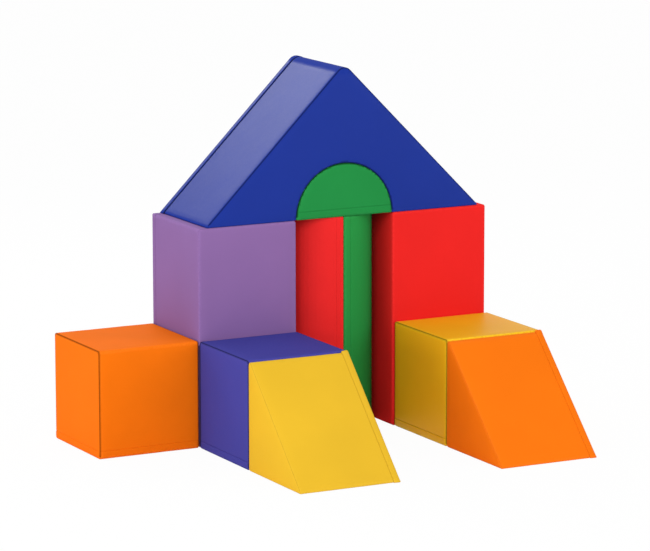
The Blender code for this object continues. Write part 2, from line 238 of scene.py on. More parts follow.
toRight, toBack, upward = unit["X"], unit["Y"], unit["Z"]
usualLook = {
    "gloss": 0.04,
    "roughness": 0.7,
    "seamShade": 0.2,
    "seamSpread": 0.1,
    "seamReach": 0.0021,
    "seamTone": 0.12,
    "seamPeak": 1,
    "backCreviceShade": 0,
    "cornerCreviceShade": (0, 0),
    "rubAndHighlightTone": 1.06,
    "rubDull": 0.1,
    "stripShade": 0.1,
    "stripWidth": 0.022,
    "stripLine": 0.0014,
    "stripRise": 0.0008,
}
blocks = {
    "orange_cube": {"shape": "cube", "along": "X", "closing": -upward, "run": toRight, "facing": toBack,
                    "colour": (0.93, 0.178, 0.004), "gloss": 0.03, "seamShade": 0.95, "seamSpread": 0.5,
                    "seamTone": 0.02, "stripShade": 0},
    # the purple column's cornerCreviceShade is painted shade at its lower front left corner
    "purple_column": {"shape": "column", "along": "Y", "closing": toBack, "run": upward, "facing": toBack,
                      "colour": (0.262, 0.14, 0.364), "gloss": 0.05, "seamShade": 0.9, "seamPeak": 0.3,
                      "seamTone": 0.16, "cornerCreviceShade": (0.01, 0.29), "stripShade": 0.25},
    # the blue cube's backCreviceShade is painted shade along the back edges of its sides
    "blue_cube": {"shape": "cube", "along": "X", "closing": -upward, "run": toRight, "facing": toBack,
                  "colour": (0.060, 0.0595, 0.339), "gloss": 0.05, "seamShade": 0.95, "seamSpread": 0.5,
                  "seamTone": 0.03, "backCreviceShade": 0.005, "stripShade": 0.15},
    "yellow_wedge": {"shape": "wedge", "along": "X", "closing": toRight, "run": toRight, "facing": toBack,
                     "colour": (0.805, 0.485, 0.026), "gloss": 0.05, "seamShade": 0.35, "rubAndHighlightTone": 0.98,
                     "stripShade": 0.2},
    "red_column": {"shape": "column", "along": "Y", "closing": toBack, "run": upward, "facing": toBack,
                   "colour": (0.855, 0.0205, 0.0185), "seamShade": 0.1, "stripShade": 0.2},
    # the gold cube's backCreviceShade is painted shade along its sides' back edges, and its raised
    # rubAndHighlightTone a painted highlight on its folds
    "gold_cube": {"shape": "cube", "along": "X", "closing": -upward, "run": toRight, "facing": toBack,
                  "colour": (0.93, 0.473, 0.0095), "gloss": 0.1, "roughness": 0.45, "seamShade": 0.95,
                  "seamSpread": 0.5, "seamTone": 0.08, "backCreviceShade": 0.003, "rubAndHighlightTone": 1.35, "stripShade": 0.3},
    "orange_wedge": {"shape": "wedge", "along": "X", "closing": toRight, "run": toRight, "facing": toBack,
                     "colour": (0.97, 0.19, 0.005), "gloss": 0.03, "seamShade": 0.15, "rubAndHighlightTone": 0.98,
                     "stripShade": 0.12},
    "roof_arch": {"shape": "roof", "along": "Y", "closing": toBack, "run": toBack,
                  "facing": (toRight + upward).normalized(), "colour": (0.0068, 0.029, 0.284), "gloss": 0.12,
                  "roughness": 0.38, "seamShade": 0.9, "seamSpread": 0.55, "seamTone": 0.15,
                  "seamReach": 0.003, "rubDull": 0.5, "stripShade": 1, "stripWidth": 0.025,
                  "stripLine": 0.004, "stripRise": 0.0012},
    "half_round": {"shape": "halfRound", "along": "Y", "closing": -upward, "run": toBack, "facing": -upward,
                   "colour": (0.0172, 0.268, 0.058), "seamShade": 0.95, "seamSpread": 0.62, "seamTone": 0.02},
    "red_half_round": {"shape": "pillar", "along": "Z", "closing": toRight, "run": upward, "facing": toRight,
                       "colour": (0.845, 0.0235, 0.0235)},
    "green_half_round": {"shape": "pillar", "along": "Z", "closing": -toRight, "run": upward,
                         "facing": -toRight, "colour": (0.0225, 0.297, 0.06)},
}
blocks = {name: {**usualLook, **info} for name, info in blocks.items()}
coverForm = {
    "crown": 0.0012,
    "pitch": 0.0085,
    "foldRadius": 0.0065,
    "ridgeRadius": 0.026,
    "cadTipRadius": 0.006,
    "wedgeTopRadius": 0.008,
    "wedgeToeRadius": 0.0035,
    "roofToeRadius": 0.0028,
    "footRadius": 0.005,
    "archFootRadius": 0.004,
    "archGap": 0.0003,
    "seamRadius": 0.0026,
    "grooveDepth": 0.0013,
    "wall": 0.0012,
    "cutSnap": 0.0002,  # a cut this close to a point goes through it
    "cutGap": 0.003,
    "arcSteps": 40,
    "foldSteps": 4,
    "ridgeSteps": 10,
    "stripGroove": 0.0007,
    "earShare": 0.5,
}


def halfCircle(radius):
    steps = coverForm["arcSteps"]
    angles = [math.pi * k / steps for k in range(steps + 1)]
    return [Vector((math.cos(a), math.sin(a))) * radius for a in angles]


def cornersOf(name, info, inset=0.0):
    # outline corners as (point, round), anticlockwise, worked out from the block's CAD cover
    low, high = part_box(name + "_cover")
    fold = coverForm["foldRadius"]
    crown = coverForm["crown"] + inset
    shape = info["shape"]
    if shape == "cube":
        front, top = low.y + crown, high.z - crown
        spots = [(front, low.z + inset), (high.y - inset, low.z + inset), (high.y - inset, top), (front, top)]
        return [(Vector(spot), fold) for spot in spots]
    if shape == "column":
        left, right, top = low.x + crown, high.x - crown, high.z - inset
        spots = [(left, low.z + inset), (right, low.z + inset), (right, top), (left, top)]
        return [(Vector(spot), fold) for spot in spots]
    if shape == "wedge":
        foot = low.z + inset
        back = high.y - inset
        leg = high.z - low.z + coverForm["cadTipRadius"] * math.sqrt(2) - inset * (2 + math.sqrt(2))
        return [(Vector((back - leg, foot)), coverForm["wedgeToeRadius"]), (Vector((back, foot)), fold),
                (Vector((back, foot + leg)), coverForm["wedgeTopRadius"])]
    if shape == "roof":
        foot = low.z + inset
        middle = (low.x + high.x) / 2
        half = high.z - low.z + coverForm["ridgeRadius"] * (math.sqrt(2) - 1) - inset * (1 + math.sqrt(2))
        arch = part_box("half_round_cover")[1].z - low.z + coverForm["archGap"] + inset
        arc = [(Vector((middle - p.x, foot - inset + p.y)), 0) for p in halfCircle(arch)]
        arc[0] = (Vector((middle - arch, foot)), coverForm["archFootRadius"])
        arc[-1] = (Vector((middle + arch, foot)), coverForm["archFootRadius"])
        toe, ridge = coverForm["roofToeRadius"], coverForm["ridgeRadius"]
        return [(Vector((middle + half, foot)), toe), (Vector((middle, foot + half)), ridge),
                (Vector((middle - half, foot)), toe), *arc]
    if shape == "halfRound":
        middle = (low.x + high.x) / 2
        arc = [(Vector((middle + p.x, low.z + max(inset, p.y))), 0)
               for p in halfCircle(high.z - low.z - inset)]
    else:
        side = -info["closing"].x
        flat = low.x if side > 0 else high.x
        middle = (low.y + high.y) / 2
        arc = [(Vector((flat + side * max(inset, p.y), middle - side * p.x)), 0)
               for p in halfCircle(high.x - low.x - inset)]
    arc[0] = (arc[0][0], coverForm["footRadius"])
    arc[-1] = (arc[-1][0], coverForm["footRadius"])
    return arc


def endsOf(name, info, inset=0.0):
    low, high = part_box(name + "_cover")
    along = unit[info["along"]]
    crown = (0 if info["shape"] == "pillar" else coverForm["crown"]) + inset
    return low.dot(along) + crown, high.dot(along) - crown


def roundReach(corners, k):
    # how far from its corner a round of this radius starts
    point, bend = corners[k]
    sides = [corners[k - 1][0] - point, corners[(k + 1) % len(corners)][0] - point]
    return bend / math.tan(sides[0].angle(sides[1]) / 2)


def drawOut(corners, along, start, end):
    # the outline drawn out between two ends, its corners bevelled round. The layers hold sewing, wear,
    # painted shade and highlight
    bm = bmesh.new()
    for layer in ("rubAndHighlight", "seam", "strip"):
        bm.verts.layers.float.new(layer)
    loop = [bm.verts.new(place[along](point.x, point.y, start)) for point, bend in corners]
    drawn = bmesh.ops.extrude_face_region(bm, geom=[bm.faces.new(loop)])["geom"]
    moved = [g for g in drawn if isinstance(g, bmesh.types.BMVert)]
    bmesh.ops.translate(bm, verts=moved, vec=unit[along] * (end - start))
    bmesh.ops.recalc_face_normals(bm, faces=bm.faces)
    for k, (point, bend) in enumerate(corners):
        if bend:
            edges = [e for e in bm.edges
                     if all((flatten[along](p.co) - point).length < touching for p in e.verts)]
            steps = coverForm["ridgeSteps" if bend > 2 * coverForm["foldRadius"] else "foldSteps"]
            bmesh.ops.bevel(bm, geom=edges, offset=roundReach(corners, k), offset_type="OFFSET",
                            segments=steps, profile=0.5, affect="EDGES", material=-1)
    return bm


def rollEnds(bm, along, start, end):
    axis = unit[along]
    for spot in (start, end):
        edges = [e for e in bm.edges if all(abs(p.co.dot(axis) - spot) < touching for p in e.verts)]
        bmesh.ops.bevel(bm, geom=edges, offset=coverForm["seamRadius"], segments=coverForm["foldSteps"],
                        profile=0.5, affect="EDGES", material=-1)


def sewEnds(bm, along, start, end):
    # each end panel meets the wrap in two small rolls, with the seam's groove between them
    rollEnds(bm, along, start, end)
    axis = unit[along]
    bm.normal_update()
    seam = bm.verts.layers.float["seam"]
    inset = coverForm["seamRadius"] * (1 - math.sqrt(0.5))
    sewn = [p for p in bm.verts
            if min(abs(p.co.dot(axis) - start - inset), abs(end - inset - p.co.dot(axis))) < onPlane]
    for p, normal in [(p, p.normal.copy()) for p in sewn]:
        p.co -= normal * coverForm["grooveDepth"]
        p[seam] = 1


def clearOf(spots, others):
    return [spot for spot in spots if all(abs(spot - other) > coverForm["cutGap"] for other in others)]


def spacedCuts(low, high, pitch, extra):
    margin = coverForm["foldRadius"] + coverForm["cutGap"]
    count = max(1, round((high - low - 2 * margin) / pitch))
    even = [low + margin + (high - low - 2 * margin) * k / count for k in range(count + 1)]
    return clearOf(even, extra) + list(extra)


def layGrid(bm, along, corners, start, end, pitch, extra):
    # cut every panel into cells. extra gives more cuts as (direction, places)
    points = [point for point, bend in corners]
    lowU, highU = min(p.x for p in points), max(p.x for p in points)
    lowV, highV = min(p.y for p in points), max(p.y for p in points)
    axes = {"X": "YZ", "Y": "XZ", "Z": "XY"}[along]
    for axis, low, high in ((axes[0], lowU, highU), (axes[1], lowV, highV), (along, start, end)):
        more = []
        for direction, spots in extra:
            share = direction.dot(unit[axis])
            if abs(share) > square:
                more += [spot * share for spot in spots if low < spot * share < high]
        if len(corners) != 4 and axis != along:
            # slopes and arcs: the cuts of both directions meet on the outline, counted from its far side
            cuts = spacedCuts(0, highV - lowV, pitch, [])
            if axis == axes[1]:
                spots = [highV - cut for cut in cuts]
            elif highU - lowU > 1.5 * (highV - lowV):
                middle = (lowU + highU) / 2
                spots = [middle + side * cut for side in (-1, 1) for cut in cuts] + [middle]
            elif len(corners) == 3:
                spots = [highU - cut for cut in cuts]
            else:
                spots = spacedCuts(lowU, highU, pitch, [])
            spots = clearOf(spots, more) + more
        else:
            spots = spacedCuts(low, high, pitch, more)
        cutAcross(bm, unit[axis], spots)
    for direction, spots in extra:
        if max(abs(c) for c in direction) < square:
            cutAcross(bm, direction, spots)


# Zips: where the CAD zip lies on its block, and the slot over it

zipForm = {"tapeEnd": 0.008, "slot": 0.009, "slotReach": 0.01, "hemLine": 0.0085, "hemDent": 0.0003,
           "hemFade": 0.001, "tapeEdge": 0.012}


def zipPlace(name, info):
    run, facing = info["run"], info["facing"]
    across = facing.cross(run)
    runLow, runHigh = spanAlong(name + "_zip", run)
    acrossLow, acrossHigh = spanAlong(name + "_zip", across)
    start = runLow + zipForm["tapeEnd"]
    end = runHigh - zipForm["tapeEnd"]
    middle = (acrossLow + acrossHigh) / 2
    surface = spanAlong(name + "_slider", facing)[1]
    # a zip's own pieces are made lying along x from the slot's start, with the cover's outside at z 0
    corner = run * start + across * middle + facing * surface
    turn = Matrix((run, across, facing)).transposed().to_4x4()
    return {"run": run, "facing": facing, "across": across, "start": start, "end": end, "middle": middle,
            "surface": surface, "matrix": Matrix.Translation(corner) @ turn}


def zipCuts(spot):
    sides = [zipForm["slot"] / 2, zipForm["hemLine"], zipForm["tapeEdge"]]
    return [(spot["across"], [spot["middle"] + sign * aside for sign in (-1, 1) for aside in sides]),
            (spot["run"], [spot["start"], spot["end"]])]


def openSlot(bm, spot):
    inside = []
    for face in bm.faces:
        middle = face.calc_center_median()
        alongRun = middle.dot(spot["run"])
        aside = middle.dot(spot["across"]) - spot["middle"]
        near = abs(middle.dot(spot["facing"]) - spot["surface"]) < zipForm["slotReach"]
        if near and spot["start"] < alongRun < spot["end"] and abs(aside) < zipForm["slot"] / 2:
            inside.append(face)
    bmesh.ops.delete(bm, geom=inside, context="FACES")


# Covers: sewn as blanks, filled by the foam's pressure, then given their slack, puckers and strips

pressure = {"frames": 20, "quality": 4, "mass": 0.25, "stretch": 30, "shear": 12, "bending": 2, "force": 4}
wear = {
    "free": 0.012,  # beyond this distance from a seam the vinyl is free
    "quickPush": 3,  # in crowns, where no cloth is simulated
    "straight": 0.94,  # panels turned away further than this don't swell
    "slack": 0.00035,
    "slackScales": (14, 37),
    "slackShift": Vector((3, 7, 1)),
    "pucker": 0.0004,
    "puckerScale": 55,
    "puckerStart": 0.003,
    "puckerSpan": (0.002, 0.020),
    # the rubbed folds, paled by wear and a painted highlight, spread over these
    "rubAndHighlightSpan": (0.002, 0.005),
    "rubAndHighlightRound": (1.1, 1.4),  # in shares of how far a corner's round reaches
    "earRound": 1.05,
    "earFade": 0.004,
    "ridgeCuts": (2.2, 1, 0.5, -0.5, -1, -2.2),
    "ridgeShare": 0.7,
    # painted seam shade keeps this share near the floor
    "footShade": 0.2,
}


def stripCuts(name, info):
    # where the flap ends, and the cuts of its ridge. The outer two keep the panel flat beside the ridge
    low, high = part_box(name + "_cover")
    closing = info["closing"]
    edge = max(low.dot(closing), high.dot(closing))
    line = edge - info["stripWidth"]
    return edge, (closing, [line + info["stripLine"] * k for k in wear["ridgeCuts"]])


def crownLimit(info, normal):
    # how far the foam may push a point out: some panels swell, flat seats and arcs don't
    swelling = [unit[info["along"]], -unit[info["along"]]]
    if info["shape"] == "cube":
        swelling += [-toBack, upward]
    elif info["shape"] == "column":
        swelling += [-toRight, toRight]
    elif info["shape"] == "wedge":
        swelling += [(upward - toBack).normalized()]
    elif info["shape"] == "roof":
        swelling += [(upward - toRight).normalized()]
    elif info["shape"] == "pillar":
        swelling = []
    straight = max([normal.dot(direction) for direction in swelling], default=0)
    return smoothStep(wear["straight"], square, straight)


def addPressure(piece):
    sewn = piece.vertex_groups.new(name="sewn")
    seam = piece.data.attributes["seam"].data
    sewn.add([k for k, value in enumerate(seam) if value.value > 0.5], 1.0, "REPLACE")
    cloth = piece.modifiers.new("swell", "CLOTH")
    cloth.settings.quality = pressure["quality"]
    cloth.settings.mass = pressure["mass"]
    cloth.settings.tension_stiffness = pressure["stretch"]
    cloth.settings.compression_stiffness = pressure["stretch"]
    cloth.settings.shear_stiffness = pressure["shear"]
    cloth.settings.bending_stiffness = pressure["bending"]
    cloth.settings.use_pressure = True
    cloth.settings.uniform_pressure_force = pressure["force"]
    cloth.settings.effector_weights.gravity = 0
    cloth.settings.vertex_group_mass = "sewn"
    cloth.point_cache.frame_start = 1
    cloth.point_cache.frame_end = pressure["frames"]


def swell(blanks):
    # the foam's pressure fills all the covers between their seams. Gives how far each point moved
    for piece in blanks.values():
        addPressure(piece)
    for step in range(1, pressure["frames"] + 1):
        bpy.context.scene.frame_set(step)
    graph = bpy.context.evaluated_depsgraph_get()
    moved = {}
    for name, piece in blanks.items():
        filled = piece.evaluated_get(graph).data.vertices
        moved[name] = [after.co - before.co for after, before in zip(filled, piece.data.vertices)]
    for piece in blanks.values():
        piece.modifiers.clear()
        piece.vertex_groups.clear()
    bpy.context.scene.frame_set(1)
    return moved


def seamTree(bm, seam):
    sewn = [p.co.copy() for p in bm.verts if p[seam] > 0.5]
    seams = kdtree.KDTree(len(sewn))
    for k, spot in enumerate(sewn):
        seams.insert(spot, k)
    seams.balance()
    return seams


def fullness(p, info, toSeam, push):
    # how far a point stands out: crown, a little slack, and puckers beside the seams
    crown = coverForm["crown"]
    free = smoothStep(0, wear["free"], toSeam)
    limit = crownLimit(info, p.normal)
    push = wear["quickPush"] * crown * free if push is None else max(0, push.dot(p.normal))
    rise = crown * limit * (1 - math.exp(-push / crown))
    broad, fine = wear["slackScales"]
    slack = noise.noise(p.co * broad + wear["slackShift"]) + 0.5 * noise.noise(p.co * fine)
    rise += wear["slack"] * free * (slack * limit - abs(slack) * (1 - limit))
    pucker = noise.noise(p.co * wear["puckerScale"]) * (1 - smoothStep(*wear["puckerSpan"], toSeam))
    return rise - wear["pucker"] * abs(pucker) * smoothStep(0, wear["puckerStart"], toSeam)


def seamAndCreviceShade(p, info, already, toSeam, low, high):
    # painted shade in the seam grooves and in the crevice where a block meets the one behind it, weaker near
    # the floor
    dark = max(already, info["seamSpread"]) if toSeam < info["seamReach"] else already
    dark *= info["seamPeak"]
    reach, top = info["cornerCreviceShade"]
    cornered = p.co.z < top and math.hypot(p.co.x - low.x, p.co.y - low.y) < reach
    if cornered or (p.normal.y < 0.5 and p.co.y > high.y - info["backCreviceShade"]):
        dark = 1
    return dark * wear["footShade"] if p.co.z < low.z + coverForm["foldRadius"] else dark


def dressCover(piece, name, info, moved):
    # everything is measured from the sewn blank, and moved at the end
    bm = bmesh.new()
    bm.from_mesh(piece.data)
    bm.normal_update()
    seam, strips, rubAndHighlight = (bm.verts.layers.float[key] for key in ("seam", "strip", "rubAndHighlight"))
    seams = seamTree(bm, seam)
    closing, along = info["closing"], info["along"]
    edge = stripCuts(name, info)[0]
    width, ridge = info["stripWidth"], info["stripLine"] * wear["ridgeShare"]
    spot = zipPlace(name, info)
    low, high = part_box(name + "_cover")
    corners = cornersOf(name, info)
    sharp = [(point, roundReach(corners, k)) for k, (point, bend) in enumerate(corners) if bend]
    eared = abs(closing.dot(unit[along])) > facesIt
    shifts = []
    for k, p in enumerate(bm.verts):
        normal = p.normal
        toSeam = seams.find(p.co)[2]
        shift = normal * fullness(p, info, toSeam, moved[k] if moved else None)
        depth = edge - p.co.dot(closing)
        if abs(normal.dot(closing)) < 0.5 and depth < width + ridge:
            inside = depth < width - ridge
            level = info["shape"] != "roof" and crownLimit(info, normal) < 0.5 and normal.z > -0.5
            rise = 0 if level and not eared else info["stripRise"]
            shift += normal * (rise if inside else -coverForm["stripGroove"])
            # the strip's groove is marked for painted shade
            p[strips] = 0 if inside else 1
        p[seam] = seamAndCreviceShade(p, info, p[seam], toSeam, low, high)
        flat = flatten[along](p.co)
        # rubbed folds by the seams and round corners, pale with wear and a painted highlight
        p[rubAndHighlight] = 1 - smoothStep(*wear["rubAndHighlightSpan"], toSeam)
        for point, reach in sharp:
            toCorner = (flat - point).length
            p[rubAndHighlight] = max(p[rubAndHighlight], 1 - smoothStep(*[reach * share for share in wear["rubAndHighlightRound"]], toCorner))
            small = reach < coverForm["ridgeRadius"]
            if eared and small and depth < width and toCorner < reach * wear["earRound"]:
                fade = smoothStep(0, wear["earFade"], width - depth)
                pull = (point - flat) * coverForm["earShare"] * fade
                shift += place[along](pull.x, pull.y, 0)
        if normal.dot(spot["facing"]) > facesIt and spot["start"] < p.co.dot(spot["run"]) < spot["end"]:
            fromHem = abs(abs(p.co.dot(spot["across"]) - spot["middle"]) - zipForm["hemLine"])
            shift -= normal * zipForm["hemDent"] * (1 - smoothStep(0, zipForm["hemFade"], fromHem))
        shifts.append(shift)
    for p, shift in zip(bm.verts, shifts):
        p.co += shift
    openSlot(bm, spot)
    for p in bm.verts:
        p.co.z = max(p.co.z, low.z)
    bm.to_mesh(piece.data)
    bm.free()
    wall = piece.modifiers.new("wall", "SOLIDIFY")
    wall.thickness = coverForm["wall"]
    wall.offset = -1


# Vinyl: fine pebble grain, slow colour drift, painted shade in the seam grooves, crevices and strip grooves,
# and rubbed folds paled by wear and a painted highlight
vinylLook = {"grain": 620.0, "mottle": 170.0, "drift": 5.0, "driftTone": 0.94, "bump": 0.5, "depth": 0.00007,
             "seamSpan": (0.25, 0.85), "patchSpan": (0.35, 0.65), "patchLow": 0.2, "rubAndHighlightLift": 0.006,
             "uneven": 0.04}


def vinylMaterial(name, info):
    material, nodes, links = newMaterial(name)
    points = objectPoints(nodes, links)
    grain = addCells(nodes, links, points, vinylLook["grain"])
    mottle = addNoise(nodes, links, points, vinylLook["mottle"], 3)
    drift = addNoise(nodes, links, points, vinylLook["drift"], 2)
    seam = addNode(nodes, "ShaderNodeAttribute", attribute_name="seam").outputs["Fac"]
    flap = addNode(nodes, "ShaderNodeAttribute", attribute_name="strip").outputs["Fac"]
    rubAndHighlight = addNode(nodes, "ShaderNodeAttribute", attribute_name="rubAndHighlight").outputs["Fac"]
    colour = info["colour"]
    driftShare = addMap(nodes, links, drift, *noiseSpan, 0, 1)
    base = addMix(nodes, links, driftShare, shaded(colour, vinylLook["driftTone"]), shaded(colour, 1))
    patchy = addMap(nodes, links, mottle, *vinylLook["patchSpan"], vinylLook["patchLow"], 1)
    wornAndHighlit = addMath(nodes, links, "MULTIPLY", rubAndHighlight, patchy)
    # rubbed folds: wear, and a painted highlight where the tone is raised above 1
    base = addMix(nodes, links, wornAndHighlit, base, shaded(colour, info["rubAndHighlightTone"], vinylLook["rubAndHighlightLift"]))
    # painted shade in the seam grooves, the crevices and the strip's groove
    shade = addMap(nodes, links, seam, *vinylLook["seamSpan"], 0, info["seamShade"])
    flapShade = addMath(nodes, links, "MULTIPLY", flap, info["stripShade"])
    dark = addMath(nodes, links, "MAXIMUM", shade, flapShade)
    base = addMix(nodes, links, dark, base, shaded(colour, info["seamTone"]))
    rough, uneven = info["roughness"], vinylLook["uneven"]
    wavering = addMap(nodes, links, mottle, *noiseSpan, rough - uneven, rough + uneven)
    dull = addMath(nodes, links, "MAXIMUM", addMath(nodes, links, "MULTIPLY", dark, 0.5),
                   addMath(nodes, links, "MULTIPLY", rubAndHighlight, info["rubDull"]))
    coarse = addBump(nodes, links, mottle, vinylLook["bump"], vinylLook["depth"])
    finishShader(nodes, links, {
        "Base Color": base,
        "Roughness": addMath(nodes, links, "ADD", wavering, dull),
        "Specular IOR Level": info["gloss"],
        "Normal": addBump(nodes, links, grain, vinylLook["bump"], vinylLook["depth"], coarse),
    })
    return material


def cutCover(name, info):
    corners = cornersOf(name, info)
    start, end = endsOf(name, info)
    bm = drawOut(corners, info["along"], start, end)
    sewEnds(bm, info["along"], start, end)
    extra = zipCuts(zipPlace(name, info)) + [stripCuts(name, info)[1]]
    layGrid(bm, info["along"], corners, start, end, coverForm["pitch"], extra)
    return meshPiece(name + "_vinyl_cover", bm, [vinylMaterial(name + "_vinyl", info)])


def addCovers():
    blanks = {name: cutCover(name, info) for name, info in blocks.items()}
    print("covers sewn")
    moved = swell(blanks)
    print("covers filled")
    for name, cover in blanks.items():
        dressCover(cover, name, blocks[name], moved.get(name))
        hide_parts(name + "_cover")
        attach(cover, name)
        print(name, "cover dressed,", len(cover.data.polygons), "faces")


addCovers()


# Foam: a cut block just inside each cover, with a shallow pocket behind the zip
foamForm = {"inset": 0.0024, "pitch": 0.02, "pocketWidth": 0.0125, "pocketEnd": 0.0085, "pocketWall": 0.001,
            "pocketDepth": 0.001}
foamLook = {"colour": (0.78, 0.74, 0.58), "cells": 480.0, "pores": 0.0005, "poreTone": 0.7, "drift": 9,
            "driftTone": 0.85, "driftShare": 0.35}


def foamMaterial():
    material, nodes, links = newMaterial("foam")
    points = objectPoints(nodes, links)
    cells = addCells(nodes, links, points, foamLook["cells"])
    drift = addNoise(nodes, links, points, foamLook["drift"], 3)
    pores = addMap(nodes, links, cells, *cellSpan, 0, 1)
    colour = foamLook["colour"]
    base = addMix(nodes, links, pores, shaded(colour, foamLook["poreTone"]), shaded(colour, 1))
    shade = addMap(nodes, links, drift, *noiseSpan, 0, foamLook["driftShare"])
    finishShader(nodes, links, {
        "Base Color": addMix(nodes, links, shade, base, shaded(colour, foamLook["driftTone"])),
        "Roughness": addMap(nodes, links, cells, *cellSpan, 1, 0.85),
        "Specular IOR Level": 0.1,
        "Normal": addBump(nodes, links, cells, 0.8, foamLook["pores"]),
    })
    return material


def addFoam(name, info, material):
    corners = cornersOf(name, info, foamForm["inset"])
    start, end = endsOf(name, info, foamForm["inset"])
    spot = zipPlace(name, info)
    along = info["along"]
    bm = drawOut(corners, along, start, end)
    rollEnds(bm, along, start, end)
    halfWidth, wall = foamForm["pocketWidth"], foamForm["pocketWall"]
    first, last = spot["start"] - foamForm["pocketEnd"], spot["end"] + foamForm["pocketEnd"]
    sides = [spot["middle"] + sign * aside for sign in (-1, 1) for aside in (halfWidth, halfWidth + wall)]
    extra = [(spot["across"], sides), (spot["run"], [first - wall, first, last, last + wall])]
    layGrid(bm, along, corners, start, end, foamForm["pitch"], extra)
    bm.normal_update()
    for p in bm.verts:
        aside = abs(p.co.dot(spot["across"]) - spot["middle"])
        alongRun = p.co.dot(spot["run"])
        if p.normal.dot(spot["facing"]) > facesIt and aside < halfWidth + wall / 2:
            if first - wall / 2 < alongRun < last + wall / 2:
                p.co -= spot["facing"] * foamForm["pocketDepth"]
    foam = meshPiece(name + "_foam_block", bm, [material])
    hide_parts(name + "_core")
    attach(foam, name)


foam = foamMaterial()
for blockName, blockInfo in blocks.items():
    addFoam(blockName, blockInfo, foam)
print("foam cut")


# Zip tape: two woven halves, each with a thick cord along the teeth
tapeForm = {"inner": 0.0012, "outer": 0.012, "top": 0.0015, "thick": 0.0005, "cord": 0.0003,
            "cordSpan": (0.001, 0.003)}
tapeLook = {"chevron": 0.003, "yarn": 0.0006, "depth": 0.00015, "low": 0.45, "high": 0.85}


def tapeMaterial(name, info):
    material, nodes, links = newMaterial(name + "_tape")
    uv = addNode(nodes, "ShaderNodeUVMap", uv_map="UVMap").outputs["UV"]
    split = addNode(nodes, "ShaderNodeSeparateXYZ")
    links.new(uv, split.inputs[0])
    folded = addMath(nodes, links, "PINGPONG", split.outputs[1], tapeLook["chevron"])
    slanted = addMath(nodes, links, "ADD", split.outputs[0], folded)
    turns = addMath(nodes, links, "MULTIPLY", slanted, math.tau / tapeLook["yarn"])
    height = addMap(nodes, links, addMath(nodes, links, "SINE", turns, 0), -1, 1, 0, 1)
    dark, pale = (shaded(info["colour"], tapeLook[key]) for key in ("low", "high"))
    finishShader(nodes, links, {
        "Base Color": addMix(nodes, links, height, dark, pale),
        "Roughness": addMap(nodes, links, height, 0, 1, 0.9, 0.75),
        "Specular IOR Level": 0.2,
        "Normal": addBump(nodes, links, height, 0.7, tapeLook["depth"]),
    })
    return material


def addTape(name, spot, material):
    length = spot["end"] - spot["start"] + 2 * zipForm["tapeEnd"]
    width = tapeForm["outer"] - tapeForm["inner"]
    bm = bmesh.new()
    layer = bm.loops.layers.uv.new("UVMap")
    for side in (-1, 1):
        made = bmesh.ops.create_grid(bm, x_segments=24, y_segments=6, size=0.5, calc_uvs=True)
        bmesh.ops.scale(bm, vec=(length, width, 1), verts=made["verts"])
        centre = (length / 2 - zipForm["tapeEnd"], side * (tapeForm["inner"] + width / 2), -tapeForm["top"])
        bmesh.ops.translate(bm, vec=centre, verts=made["verts"])
    for face in bm.faces:
        for loop in face.loops:
            loop[layer].uv = (loop.vert.co.x, abs(loop.vert.co.y))
    for p in bm.verts:
        p.co.z += tapeForm["cord"] * (1 - smoothStep(*tapeForm["cordSpan"], abs(p.co.y)))
    bm.transform(spot["matrix"])
    tape = meshPiece(name + "_zip_tape", bm, [material])
    cloth = tape.modifiers.new("cloth", "SOLIDIFY")
    cloth.thickness = tapeForm["thick"]
    cloth.offset = -1
    dressZip(tape, name)


def dressZip(piece, name):
    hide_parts(name + "_zip")
    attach(piece, name)


# Zip teeth and end stops: moulded nylon
teethForm = {"pitch": 0.0014, "thick": 0.001, "length": 0.0036, "aside": 0.00045, "top": 0.001,
             "bottom": 0.0028, "bevel": 0.0003, "stopLength": 0.004, "stopWidth": 0.0064, "stopTop": 0.0006,
             "stopBevel": 0.0006}
nylonLook = {"flow": 900, "low": 0.55, "high": 0.8, "depth": 0.00005}


def nylonMaterial(name, info):
    material, nodes, links = newMaterial(name + "_nylon")
    points = objectPoints(nodes, links)
    flow = addNoise(nodes, links, points, nylonLook["flow"], 2)
    dark, pale = (shaded(info["colour"], nylonLook[key]) for key in ("low", "high"))
    finishShader(nodes, links, {
        "Base Color": addMix(nodes, links, flow, dark, pale),
        "Roughness": addMap(nodes, links, flow, *noiseSpan, 0.3, 0.42),
        "Specular IOR Level": 0.4,
        "Normal": addBump(nodes, links, flow, 0.3, nylonLook["depth"]),
    })
    return material


def addBlock(bm, size, centre, bevel, segments):
    made = bmesh.ops.create_cube(bm, size=1)
    bmesh.ops.scale(bm, vec=size, verts=made["verts"])
    bmesh.ops.translate(bm, vec=centre, verts=made["verts"])
    edges = list({e for p in made["verts"] for e in p.link_edges})
    bmesh.ops.bevel(bm, geom=edges, offset=bevel, offset_type="OFFSET", segments=segments, profile=0.5,
                    affect="EDGES", material=-1)


def repeat(piece, step, count):
    row = piece.modifiers.new("row", "ARRAY")
    row.use_relative_offset = False
    row.use_constant_offset = True
    row.constant_offset_displace = step
    row.count = count


def addTeeth(name, spot, material):
    length = spot["end"] - spot["start"]
    first = teethForm["stopLength"] + teethForm["pitch"]
    depth = (teethForm["top"] + teethForm["bottom"]) / 2
    size = (teethForm["thick"], teethForm["length"], teethForm["bottom"] - teethForm["top"])
    bm = bmesh.new()
    for k, side in enumerate((-1, 1)):
        centre = (first + k * teethForm["pitch"], side * teethForm["aside"], -depth)
        addBlock(bm, size, centre, teethForm["bevel"], 1)
    bm.transform(spot["matrix"])
    teeth = meshPiece(name + "_zip_teeth", bm, [material])
    step = 2 * teethForm["pitch"]
    repeat(teeth, spot["run"] * step, int((length - 2 * first) / step))
    dressZip(teeth, name)


